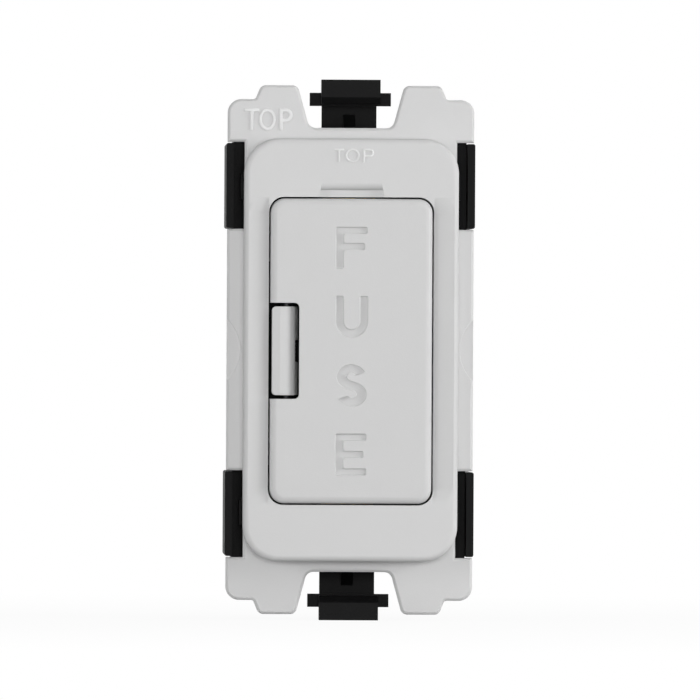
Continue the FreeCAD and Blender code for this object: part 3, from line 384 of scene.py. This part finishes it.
def letter_o(width, height, stroke, thickness):
    """A ring, spun from the stroke's section and then narrowed to measure."""
    bpy.ops.object.select_all(action="DESELECT")
    bpy.ops.mesh.primitive_plane_add(size=1.0, location=((height - stroke) / 2, 0.0, 0.0))
    ring = bpy.context.object
    ring.scale = (stroke, thickness, 1.0)
    settle(ring)
    bpy.ops.object.mode_set(mode="EDIT")
    bpy.ops.mesh.select_all(action="SELECT")
    bpy.ops.mesh.delete(type="ONLY_FACE")
    bpy.ops.mesh.select_all(action="SELECT")
    bpy.ops.mesh.spin(steps=RING_STEPS, angle=2 * math.pi, center=(0.0, 0.0, 0.0), axis=(0.0, 1.0, 0.0))
    bpy.ops.object.mode_set(mode="OBJECT")
    merge(ring, turn_outwards=True)
    put_in_order(ring)
    ring.scale = (width / height, 1.0, 1.0)
    settle(ring)
    return ring


def letter_of_bars(character, width, height, stroke, thickness):
    """An upright stem with the letter's arms, bar or bowl joined to it."""
    left, right, top = (stroke - width) / 2, (width - stroke) / 2, (height - stroke) / 2
    arm_start = left + stroke * ARM_START
    stem_across = 0.0 if character == "T" else left
    stem = Pen(stroke, thickness, stem_across, -height / 2, 90).run(height).lift()
    if character == "T":
        bars = [Pen(stroke, thickness, -width / 2, top, 0).run(width).lift()]
    elif character == "P":
        bowl = height * BOWL_SHARE / 2
        straight = right - arm_start - bowl
        pen = Pen(stroke, thickness, arm_start, top, 0)
        bars = [pen.run(straight).bend(bowl, -180).run(straight).lift()]
    else:
        bars = []
        arm = stroke * ARM_WEIGHT
        for level, reach in ARMS[character]:
            pen = Pen(arm, thickness, arm_start, (height - arm) / 2 * level, 0)
            bars.append(pen.run(width * reach - width / 2 - arm_start).lift())
    for bar in bars:
        combine(stem, bar, "UNION")
    merge(stem, whole_faces=True)
    return stem


LETTER_MAKERS = {"U": letter_u, "S": letter_s, "O": letter_o}


def letter(character, width, height, stroke, thickness, across, up, front):
    """A plain upright letter that reaches from its front back through its thickness."""
    if character in LETTER_MAKERS:
        piece = LETTER_MAKERS[character](width, height, stroke, thickness)
    else:
        piece = letter_of_bars(character, width, height, stroke, thickness)
    piece.location = (across, front + thickness / 2, up)
    settle(piece)
    return piece


def node_group(name, inputs, outputs):
    """An empty shader group with named sockets."""
    group = bpy.data.node_groups.new(name, "ShaderNodeTree")
    for label, kind, value in inputs:
        socket = group.interface.new_socket(name=label, in_out="INPUT", socket_type=kind)
        socket.default_value = value
    for label, kind in outputs:
        group.interface.new_socket(name=label, in_out="OUTPUT", socket_type=kind)
    return group


def add_node(tree, kind, settings=None, **values):
    """A shader node with its settings and the values of its sockets."""
    node = tree.nodes.new(kind)
    for key, value in (settings or {}).items():
        setattr(node, key, value)
    for key, value in values.items():
        node.inputs[key.replace("_", " ")].default_value = value
    return node


COLOUR = "NodeSocketColor"
NUMBER = "NodeSocketFloat"


def moulded_skin():
    """Fine sparked grain and faint flow marks, as a moulded face has."""
    name = "Moulded skin"
    if name in bpy.data.node_groups:
        return bpy.data.node_groups[name]
    group = node_group(
        name,
        [("Colour", COLOUR, (0.6, 0.6, 0.6, 1)), ("Tone", NUMBER, 0.02), ("Grain", NUMBER, 7000.0),
         ("Roughness", NUMBER, 0.5), ("Gloss change", NUMBER, 0.06)],
        [("Colour", COLOUR), ("Roughness", NUMBER), ("Height", NUMBER)],
    )
    given = add_node(group, "NodeGroupInput")
    result = add_node(group, "NodeGroupOutput")
    place = add_node(group, "ShaderNodeTexCoord")
    link = group.links.new
    grain = add_node(group, "ShaderNodeTexNoise", Detail=3.0, Roughness=0.6)
    link(place.outputs["Object"], grain.inputs["Vector"])
    link(given.outputs["Grain"], grain.inputs["Scale"])
    flow = add_node(group, "ShaderNodeTexNoise", Scale=120.0, Detail=2.0, Distortion=0.8)
    link(place.outputs["Object"], flow.inputs["Vector"])
    mixed = add_node(group, "ShaderNodeMath", {"operation": "ADD"})
    link(grain.outputs["Fac"], mixed.inputs[0])
    link(flow.outputs["Fac"], mixed.inputs[1])
    # Two noises of mean one half add up to about one
    centred = add_node(group, "ShaderNodeMath", {"operation": "SUBTRACT"})
    link(mixed.outputs[0], centred.inputs[0])
    centred.inputs[1].default_value = 1.0
    tone = add_node(group, "ShaderNodeMath", {"operation": "MULTIPLY_ADD"})
    link(centred.outputs[0], tone.inputs[0])
    link(given.outputs["Tone"], tone.inputs[1])
    tone.inputs[2].default_value = 1.0
    shade = add_node(group, "ShaderNodeVectorMath", {"operation": "SCALE"})
    link(given.outputs["Colour"], shade.inputs[0])
    link(tone.outputs[0], shade.inputs["Scale"])
    gloss = add_node(group, "ShaderNodeMath", {"operation": "MULTIPLY_ADD"})
    link(centred.outputs[0], gloss.inputs[0])
    link(given.outputs["Gloss change"], gloss.inputs[1])
    link(given.outputs["Roughness"], gloss.inputs[2])
    link(shade.outputs[0], result.inputs["Colour"])
    link(gloss.outputs[0], result.inputs["Roughness"])
    link(grain.outputs["Fac"], result.inputs["Height"])
    return group


def worked_metal():
    """Tool marks along one way, and a thin uneven tarnish."""
    name = "Worked metal"
    if name in bpy.data.node_groups:
        return bpy.data.node_groups[name]
    group = node_group(
        name,
        [("Colour", COLOUR, (0.6, 0.6, 0.6, 1)), ("Tarnish", COLOUR, (0.4, 0.3, 0.2, 1)),
         ("Tarnish share", NUMBER, 0.3), ("Roughness", NUMBER, 0.3), ("Marks roughen", NUMBER, 0.16),
         ("Along", NUMBER, 400.0), ("Across", NUMBER, 9000.0)],
        [("Colour", COLOUR), ("Roughness", NUMBER), ("Height", NUMBER)],
    )
    given = add_node(group, "NodeGroupInput")
    result = add_node(group, "NodeGroupOutput")
    place = add_node(group, "ShaderNodeTexCoord")
    link = group.links.new
    stretch = add_node(group, "ShaderNodeCombineXYZ")
    link(given.outputs["Across"], stretch.inputs["X"])
    link(given.outputs["Across"], stretch.inputs["Y"])
    link(given.outputs["Along"], stretch.inputs["Z"])
    drawn = add_node(group, "ShaderNodeVectorMath", {"operation": "MULTIPLY"})
    link(place.outputs["Object"], drawn.inputs[0])
    link(stretch.outputs[0], drawn.inputs[1])
    marks = add_node(group, "ShaderNodeTexNoise", Scale=1.0, Detail=2.0)
    link(drawn.outputs[0], marks.inputs["Vector"])
    stain = add_node(group, "ShaderNodeTexNoise", Scale=380.0, Detail=4.0, Roughness=0.65)
    link(place.outputs["Object"], stain.inputs["Vector"])
    spread = add_node(group, "ShaderNodeMath", {"operation": "MULTIPLY"})
    link(stain.outputs["Fac"], spread.inputs[0])
    link(given.outputs["Tarnish share"], spread.inputs[1])
    mix = add_node(group, "ShaderNodeMix", {"data_type": "RGBA"})
    link(spread.outputs[0], mix.inputs[0])
    for label, place_in_mix in zip(("Colour", "Tarnish"), MIX_COLOURS):
        link(given.outputs[label], mix.inputs[place_in_mix])
    rough = add_node(group, "ShaderNodeMath", {"operation": "MULTIPLY_ADD"})
    link(marks.outputs["Fac"], rough.inputs[0])
    link(given.outputs["Marks roughen"], rough.inputs[1])
    link(given.outputs["Roughness"], rough.inputs[2])
    link(mix.outputs[MIX_RESULT], result.inputs["Colour"])
    link(rough.outputs[0], result.inputs["Roughness"])
    link(marks.outputs["Fac"], result.inputs["Height"])
    return group


def shaded(name, group, values, constants, bump):
    """A material whose colour, roughness and relief come from a group; bump is strength and height."""
    # The frame has plain materials that bear the slots' names, so a finish needs a name of its own
    title = f"{name}_finish"
    if title in bpy.data.materials:
        return bpy.data.materials[title]
    material = bpy.data.materials.new(title)
    material.use_nodes = True
    tree = material.node_tree
    shader = tree.nodes["Principled BSDF"]
    skin = add_node(tree, "ShaderNodeGroup")
    skin.node_tree = group
    for label, value in values.items():
        skin.inputs[label].default_value = value
    for label, value in constants.items():
        shader.inputs[label].default_value = value
    relief = add_node(tree, "ShaderNodeBump", Strength=bump[0], Distance=bump[1])
    tree.links.new(skin.outputs["Colour"], shader.inputs["Base Color"])
    tree.links.new(skin.outputs["Roughness"], shader.inputs["Roughness"])
    tree.links.new(skin.outputs["Height"], relief.inputs["Height"])
    tree.links.new(relief.outputs["Normal"], shader.inputs["Normal"])
    return material


def opaque(colour):
    return (*colour, 1.0)


def plastic(name, colour, roughness=0.52, specular=0.30, tone=0.035, bump=(0.30, 0.03 * MM)):
    values = {"Colour": opaque(colour), "Tone": tone, "Roughness": roughness}
    return shaded(name, moulded_skin(), values, {"Specular IOR Level": specular}, bump)


def metal(name, colour, tarnish, share, roughness, bump=(0.25, 0.02 * MM)):
    values = {
        "Colour": opaque(colour), "Tarnish": opaque(tarnish), "Tarnish share": share,
        "Roughness": roughness,
    }
    return shaded(name, worked_metal(), values, {"Metallic": 1.0}, bump)


def white_moulding():
    return plastic("white_moulding", colours().white_plastic)


def white_word():
    """The raised words, whose tops are polished by handling; their colour, lighter than the white plastic,
    is a painted highlight.
    """
    return plastic(
        "white_word", colours().word_plastic_painted_highlight, roughness=0.40, specular=0.45, tone=0.02,
        bump=(0.15, 0.02 * MM),
    )


def white_carrier():
    return plastic("white_carrier", colours().door_plastic)


def black_moulding():
    return plastic(
        "black_moulding", colours().black_plastic, roughness=0.50, specular=0.08, tone=0.30,
        bump=(0.55, 0.05 * MM),
    )


def ceramic():
    values = {"Colour": opaque(colours().ceramic), "Tone": 0.06, "Grain": 4000.0, "Roughness": 0.34}
    glaze = {"Coat Weight": 0.25, "Coat Roughness": 0.2}
    return shaded("ceramic", moulded_skin(), values, glaze, bump=(0.2, 0.03 * MM))


def fuse_wire():
    return metal("fuse_wire", colours().fuse_wire, tarnish=(0.42, 0.38, 0.32), share=0.3, roughness=0.22)


def plated_cap():
    return metal("plated_cap", colours().nickel, tarnish=(0.40, 0.37, 0.31), share=0.25, roughness=0.20)


def bronze():
    return metal("bronze", colours().bronze, tarnish=(0.26, 0.12, 0.06), share=0.35, roughness=0.26)


def brass():
    return metal("brass", colours().brass, tarnish=(0.32, 0.20, 0.07), share=0.35, roughness=0.24)


def steel():
    return metal("steel", colours().steel, tarnish=(0.22, 0.22, 0.21), share=0.35, roughness=0.32)


# Steel darkened as painted shade, for the pin and spring seen in the catch's narrow gap
def dark_steel():
    return metal(
        "dark_steel", colours().dark_steel, tarnish=(0.06, 0.055, 0.05), share=0.30, roughness=0.42,
    )


FINISHES = {
    "white_moulding": white_moulding,
    # The raised words' finish has a lighter colour that is a painted highlight
    "white_word": white_word,
    "white_carrier": white_carrier,
    "black_moulding": black_moulding,
    "ceramic": ceramic,
    "fuse_wire": fuse_wire,
    "plated_cap": plated_cap,
    "bronze": bronze,
    "brass": brass,
    "steel": steel,
    "dark_steel": dark_steel,
}


class FUSEUNIT_OT_white_mouldings(bpy.types.Operator):
    """Soften the edges of the bezel, the plate and the catch"""

    bl_idname = "fuse_unit.white_mouldings"
    bl_label = "White mouldings"

    NODES = (
        ("bezel", "white_moulding"),
        ("yoke_plate", "white_moulding"),
        ("release_catch", "white_carrier"),
    )

    def execute(self, context):
        for node, slot in self.NODES:
            piece = merged_copy(node)
            soften(piece, sizes().white_edge)
            stand_in(piece, node, slot)
        return {"FINISHED"}


class FUSEUNIT_OT_door(bpy.types.Operator):
    """Sink the word into the door of the fuse carrier"""

    bl_idname = "fuse_unit.door"
    bl_label = "Door and its sunk word"

    # Each letter, how far right of the middle it stands and its width, in millimetres
    LETTERS = (("F", -0.02, 3.36), ("U", 0.04, 3.42), ("S", 0.05, 3.14), ("E", -0.01, 3.28))
    MIDDLE_UP = -0.12

    def execute(self, context):
        setting = sizes()
        door = merged_copy("fuse_carrier")
        soften(door, setting.white_edge)
        top = self.MIDDLE_UP * MM + setting.door_letter_pitch * (len(self.LETTERS) - 1) / 2
        for place, (character, across, width) in enumerate(self.LETTERS):
            up = top - setting.door_letter_pitch * place
            self.sink_letter(door, character, across * MM, up, width * MM)
        stand_in(door, "fuse_carrier", "white_carrier")
        return {"FINISHED"}

    def sink_letter(self, door, character, across, up, width):
        """Cuts the letter's narrow floor first, then the slope round its edge."""
        setting = sizes()
        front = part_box("fuse_carrier")[0].y
        slope = setting.door_letter_slope
        cutters = [
            letter(
                character, width - inset * 2, setting.door_letter_height - inset * 2,
                setting.door_letter_stroke - inset * 2, reach * 2, across, up, front - reach,
            )
            for inset, reach in ((slope, setting.door_letter_depth), (0.0, slope * SLOPE_CUTTER_REACH))
        ]
        soften(cutters[1], slope * SLOPE_CUTTER_BEVEL, segments=1)
        for cutter in cutters:
            combine(door, cutter, "DIFFERENCE")


class FUSEUNIT_OT_top_words(bpy.types.Operator):
    """Raise the word that shows which way up the unit goes, on the plate and on the bezel"""

    bl_idname = "fuse_unit.top_words"
    bl_label = "Raised words"

    # Each letter, how far right of the middle it stands and its width, in millimetres
    PLATE_LETTERS = (("T", -10.27, 1.52), ("O", -8.66, 1.74), ("P", -6.75, 1.38))
    BEZEL_LETTERS = (("T", -1.33, 1.03), ("O", 0.05, 1.49), ("P", 1.70, 1.12))
    PLATE_MIDDLE_UP = 23.80
    BEZEL_MIDDLE_UP = 20.05

    def execute(self, context):
        setting = sizes()
        self.raise_word("plate_word", "yoke_plate", self.PLATE_LETTERS, self.PLATE_MIDDLE_UP,
                        setting.plate_letter_height, setting.plate_letter_stroke)
        self.raise_word("bezel_word", "bezel", self.BEZEL_LETTERS, self.BEZEL_MIDDLE_UP,
                        setting.bezel_letter_height, setting.bezel_letter_stroke)
        return {"FINISHED"}

    def raise_word(self, name, node, letters, middle_up, height, stroke):
        """Makes the word's letters one piece on the front of a CAD node."""
        setting = sizes()
        thickness = setting.raised_letter * RAISED_LETTER_BODY
        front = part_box(node)[0].y - setting.raised_letter
        pieces = [
            letter(character, width * MM, height, stroke, thickness, across * MM, middle_up * MM, front)
            for character, across, width in letters
        ]
        word = pieces[0]
        bpy.ops.object.select_all(action="DESELECT")
        for piece in pieces:
            piece.select_set(True)
        bpy.context.view_layer.objects.active = word
        bpy.ops.object.join()
        word.name = name
        soften(word, setting.letter_edge)
        smooth(word)
        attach(word, "module")
        finish_piece(word, "white_word")


class FUSEUNIT_OT_black_mouldings(bpy.types.Operator):
    """Soften the edges of the housing and its cover"""

    bl_idname = "fuse_unit.black_mouldings"
    bl_label = "Black mouldings"

    # Each node, and whether its flat faces are made whole: one with holes in it keeps its triangles
    NODES = (("rear_housing", True), ("rear_cover", False))

    def execute(self, context):
        for node, whole_faces in self.NODES:
            piece = merged_copy(node, whole_faces)
            soften(piece, sizes().black_edge)
            stand_in(piece, node, "black_moulding")
        return {"FINISHED"}


class FUSEUNIT_OT_contacts(bpy.types.Operator):
    """Finish the clips, rivets, terminals, screws and the fuse"""

    bl_idname = "fuse_unit.contacts"
    bl_label = "Contacts and fuse"

    FINISHED_NODES = (
        ("bronze", ("contact_clip_upper", "contact_clip_lower")),
        ("brass", ("terminal_block_supply", "terminal_block_load")),
        ("brass", ("clip_rivet_upper", "clip_rivet_lower")),
        ("steel", ("terminal_screw_supply", "terminal_screw_load")),
        ("steel", ("cover_screw_right", "cover_screw_left")),
        # The pin and spring get a darkened steel that is painted shade of the gap
        ("dark_steel", ("catch_pin", "catch_spring")),
        ("plated_cap", ("fuse_cap_upper", "fuse_cap_lower")),
        ("ceramic", ("fuse_barrel",)),
        ("fuse_wire", ("fuse_element",)),
    )

    def execute(self, context):
        for finish, nodes in self.FINISHED_NODES:
            for node in nodes:
                finish_piece(frame["nodes"][node], finish)
        return {"FINISHED"}


def light_path_mix(tree, seen, lit, output):
    """Shows one shader to the camera, in reflections and through glass, and another to the light."""
    rays = add_node(tree, "ShaderNodeLightPath")
    either = add_node(tree, "ShaderNodeMath", {"operation": "MAXIMUM"})
    any_of = add_node(tree, "ShaderNodeMath", {"operation": "MAXIMUM"})
    mix = add_node(tree, "ShaderNodeMixShader")
    link = tree.links.new
    link(rays.outputs["Is Camera Ray"], either.inputs[0])
    link(rays.outputs["Is Glossy Ray"], either.inputs[1])
    link(either.outputs[0], any_of.inputs[0])
    link(rays.outputs["Is Transmission Ray"], any_of.inputs[1])
    link(any_of.outputs[0], mix.inputs["Fac"])
    link(lit, mix.inputs[1])
    link(seen, mix.inputs[2])
    link(mix.outputs[0], output)


class FUSEUNIT_OT_stage(bpy.types.Operator):
    """Lay the floor, light the studio and place the camera"""

    bl_idname = "fuse_unit.stage"
    bl_label = "Stage"

    WHITE = (1, 1, 1, 1)
    FLOOR_SIZE = 4.0
    # The camera sees a floor of paper and plain glow: the share of glow grows with the distance
    GLOW_SHARE = dict(From_Min=0.02, From_Max=0.16, To_Min=0.94, To_Max=1.0)
    PAPER_COLOUR = (0.85, 0.85, 0.85, 1)
    # The light meets a darker floor, so little of it comes back up
    LIT_COLOUR = (0.50, 0.50, 0.50, 1)
    # Reflections find the dark end behind the camera and white on the far side
    WHITE_SHARE = dict(From_Min=-0.75, From_Max=0.1, To_Min=0.0, To_Max=1.0)
    # Each lamp's place and size in metres. All aim at the origin, and the settings hold their powers
    LAMPS = (
        ("top_lamp", (0.0, -0.26, 0.66), 0.55),
        ("left_lamp", (-0.60, -0.50, 0.06), 0.40),
        ("right_lamp", (0.60, -0.50, 0.06), 0.40),
        ("side_lamp", (0.76, -0.22, 0.10), 0.50),
        ("front_lamp", (0.0, -0.80, 0.03), 0.12),
        ("back_lamp", (0.25, 0.70, 0.35), 0.50),
    )
    # The sensor's width in millimetres, and the distances in metres between which the camera sees
    SENSOR_WIDTH = 36.0
    CAMERA_SEES = (0.01, 20.0)

    def execute(self, context):
        settings = context.scene.fuse_unit_stage
        self.lay_floor()
        self.light_studio(settings)
        self.place_camera(settings)
        context.scene.view_settings.view_transform = "Standard"
        return {"FINISHED"}

    def lay_floor(self):
        """A pale floor that glows like the background and keeps a faint shadow; it is clear from below."""
        bpy.ops.object.select_all(action="DESELECT")
        bpy.ops.mesh.primitive_plane_add(size=self.FLOOR_SIZE, location=(0.0, 0.0, CAD_BOX[0].z))
        floor = bpy.context.object
        floor.name = "floor"
        material = bpy.data.materials.new("floor_white")
        material.use_nodes = True
        tree = material.node_tree
        tree.nodes.remove(tree.nodes["Principled BSDF"])
        glow = add_node(tree, "ShaderNodeEmission", Color=self.WHITE, Strength=1.0)
        paper = add_node(tree, "ShaderNodeBsdfDiffuse", Color=self.PAPER_COLOUR)
        dim = add_node(tree, "ShaderNodeBsdfDiffuse", Color=self.LIT_COLOUR)
        place = add_node(tree, "ShaderNodeTexCoord")
        reach = add_node(tree, "ShaderNodeVectorMath", {"operation": "LENGTH"})
        fade = add_node(tree, "ShaderNodeMapRange", **self.GLOW_SHARE)
        tree.links.new(place.outputs["Object"], reach.inputs[0])
        tree.links.new(reach.outputs["Value"], fade.inputs["Value"])
        seen = add_node(tree, "ShaderNodeMixShader")
        tree.links.new(fade.outputs["Result"], seen.inputs["Fac"])
        tree.links.new(paper.outputs[0], seen.inputs[1])
        tree.links.new(glow.outputs[0], seen.inputs[2])
        side = add_node(tree, "ShaderNodeNewGeometry")
        clear = add_node(tree, "ShaderNodeBsdfTransparent")
        from_above = add_node(tree, "ShaderNodeMixShader")
        tree.links.new(side.outputs["Backfacing"], from_above.inputs["Fac"])
        tree.links.new(seen.outputs[0], from_above.inputs[1])
        tree.links.new(clear.outputs[0], from_above.inputs[2])
        output = tree.nodes["Material Output"].inputs["Surface"]
        light_path_mix(tree, from_above.outputs[0], dim.outputs[0], output)
        floor.data.materials.append(material)

    def light_studio(self, settings):
        """A white world that lights little, and soft lamps round the object."""
        world = bpy.data.worlds.new("studio")
        world.use_nodes = True
        tree = world.node_tree
        around = tree.nodes["Background"]
        around.inputs["Color"].default_value = self.WHITE
        around.inputs["Strength"].default_value = settings.ambient
        white = add_node(tree, "ShaderNodeBackground", Color=self.WHITE, Strength=1.0)
        dark_end = add_node(tree, "ShaderNodeBackground", Color=self.WHITE, Strength=settings.dark_end)
        way = add_node(tree, "ShaderNodeTexCoord")
        depth = add_node(tree, "ShaderNodeSeparateXYZ")
        fade = add_node(tree, "ShaderNodeMapRange", **self.WHITE_SHARE)
        rays = add_node(tree, "ShaderNodeLightPath")
        camera_or_back = add_node(tree, "ShaderNodeMath", {"operation": "MAXIMUM"})
        seen = add_node(tree, "ShaderNodeMixShader")
        tree.links.new(way.outputs["Generated"], depth.inputs[0])
        tree.links.new(depth.outputs["Y"], fade.inputs["Value"])
        tree.links.new(rays.outputs["Is Camera Ray"], camera_or_back.inputs[0])
        tree.links.new(fade.outputs["Result"], camera_or_back.inputs[1])
        tree.links.new(camera_or_back.outputs[0], seen.inputs["Fac"])
        tree.links.new(dark_end.outputs[0], seen.inputs[1])
        tree.links.new(white.outputs[0], seen.inputs[2])
        output = tree.nodes["World Output"].inputs["Surface"]
        light_path_mix(tree, seen.outputs[0], around.outputs[0], output)
        bpy.context.scene.world = world
        for name, place, size in self.LAMPS:
            bpy.ops.object.select_all(action="DESELECT")
            bpy.ops.object.light_add(type="AREA", location=place)
            lamp = bpy.context.object
            lamp.name = name
            lamp.data.size = size
            lamp.data.energy = getattr(settings, name)
            lamp.visible_camera = False
            lamp.rotation_euler = (-Vector(place)).to_track_quat("-Z", "Y").to_euler()

    def place_camera(self, settings):
        """Looks at the middle of the plate's front from afar, a little turned and leaning."""
        turn = math.radians(settings.camera_turn)
        look = Vector((math.sin(turn), math.cos(turn), 0.0))
        target = Vector((0.0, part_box("yoke_plate")[0].y, 0.0))
        place = target - look * settings.camera_distance
        bpy.ops.object.select_all(action="DESELECT")
        bpy.ops.object.camera_add(location=place)
        camera = bpy.context.object
        roll = Matrix.Rotation(math.radians(settings.camera_roll), 4, "Z")
        aim = look.to_track_quat("-Z", "Y").to_matrix().to_4x4()
        camera.matrix_world = Matrix.Translation(place) @ aim @ roll
        camera.data.sensor_width = self.SENSOR_WIDTH
        camera.data.lens = self.SENSOR_WIDTH * settings.camera_distance / settings.frame_width
        camera.data.clip_start, camera.data.clip_end = self.CAMERA_SEES
        bpy.context.scene.camera = camera


class FUSEUNIT_PT_panel(bpy.types.Panel):
    """Settings and steps of the fused spur unit"""

    bl_idname = "FUSEUNIT_PT_panel"
    bl_label = "Fused spur unit"
    bl_space_type = "VIEW_3D"
    bl_region_type = "UI"
    bl_category = "Fused spur unit"

    def draw(self, context):
        scene = context.scene
        for group in (scene.fuse_unit_sizes, scene.fuse_unit_colours, scene.fuse_unit_stage):
            box = self.layout.box()
            for setting in group.__annotations__:
                box.prop(group, setting)
        for step in STEPS:
            self.layout.operator(step.bl_idname)


STEPS = (
    FUSEUNIT_OT_white_mouldings,
    FUSEUNIT_OT_door,
    FUSEUNIT_OT_top_words,
    FUSEUNIT_OT_black_mouldings,
    FUSEUNIT_OT_contacts,
    FUSEUNIT_OT_stage,
)
CLASSES = (FuseUnitSizes, FuseUnitColours, FuseUnitStage, *STEPS, FUSEUNIT_PT_panel)


def register():
    for item in CLASSES:
        bpy.utils.register_class(item)
    bpy.types.Scene.fuse_unit_sizes = bpy.props.PointerProperty(type=FuseUnitSizes)
    bpy.types.Scene.fuse_unit_colours = bpy.props.PointerProperty(type=FuseUnitColours)
    bpy.types.Scene.fuse_unit_stage = bpy.props.PointerProperty(type=FuseUnitStage)


def unregister():
    del bpy.types.Scene.fuse_unit_stage
    del bpy.types.Scene.fuse_unit_colours
    del bpy.types.Scene.fuse_unit_sizes
    for item in reversed(CLASSES):
        bpy.utils.unregister_class(item)


def main():
    register()
    bpy.ops.fuse_unit.white_mouldings()
    bpy.ops.fuse_unit.door()
    bpy.ops.fuse_unit.top_words()
    bpy.ops.fuse_unit.black_mouldings()
    bpy.ops.fuse_unit.contacts()
    bpy.ops.fuse_unit.stage()


if __name__ == "__main__":
    main()
